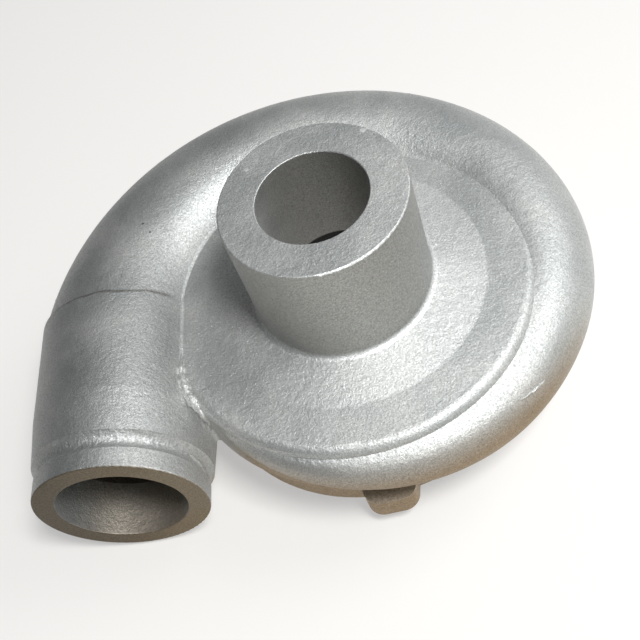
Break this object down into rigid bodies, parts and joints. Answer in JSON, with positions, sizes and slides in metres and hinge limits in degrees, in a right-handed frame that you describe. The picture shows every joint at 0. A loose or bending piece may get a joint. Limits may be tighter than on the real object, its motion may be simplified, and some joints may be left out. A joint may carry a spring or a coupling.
{
  "type": "volute pump casing",
  "caption": "Cast volute casing of an end-suction centrifugal pump: tall suction boss on a stepped front wall, growing spiral scroll and a tangential discharge nozzle with a plain collar.",
  "frame": {"origin": "centre of the rear neck's opening, on the shaft axis, in the plane of the neck's rear face", "axes": "+Z along the shaft axis towards the suction boss, -Y along the discharge nozzle, +X away from the nozzle, so the scroll grows anticlockwise seen from the boss"},
  "size_m": [0.2745, 0.236, 0.1325],
  "materials": {
    "cast_steel": "raw shot-blasted casting"
  },
  "bodies": {
    "root": {"volute_casing": "cast_steel"}
  },
  "joints": []
}
